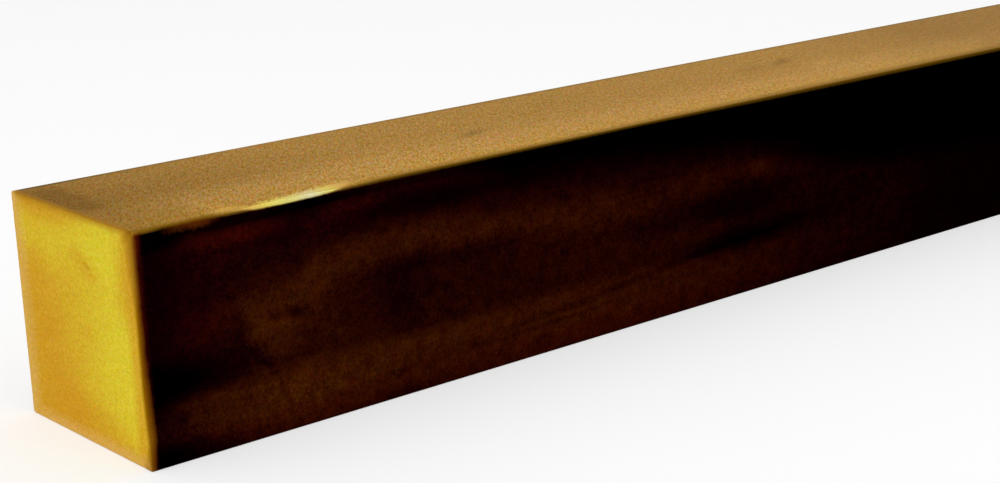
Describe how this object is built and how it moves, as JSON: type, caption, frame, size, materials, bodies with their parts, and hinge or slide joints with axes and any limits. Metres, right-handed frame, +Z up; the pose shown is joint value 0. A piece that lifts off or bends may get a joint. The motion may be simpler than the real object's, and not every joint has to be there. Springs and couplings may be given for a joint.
{
  "type": "square metal bar",
  "caption": "Solid square bar of brass stock, cut to length, with lightly rounded long edges, sawn ends and a small bruise on one edge.",
  "frame": {"origin": "middle of the bar's length and width, on its bottom face", "axes": "+X along the bar from the near sawn end to the far one, +Z up, -Y out of the front side"},
  "size_m": [0.3048, 0.0254, 0.0254],
  "materials": {
    "brass": "drawn brass, satin with brown tarnish; the sawn ends are bare and brighter"
  },
  "bodies": {
    "root": {"square_bar": "brass"}
  },
  "joints": []
}
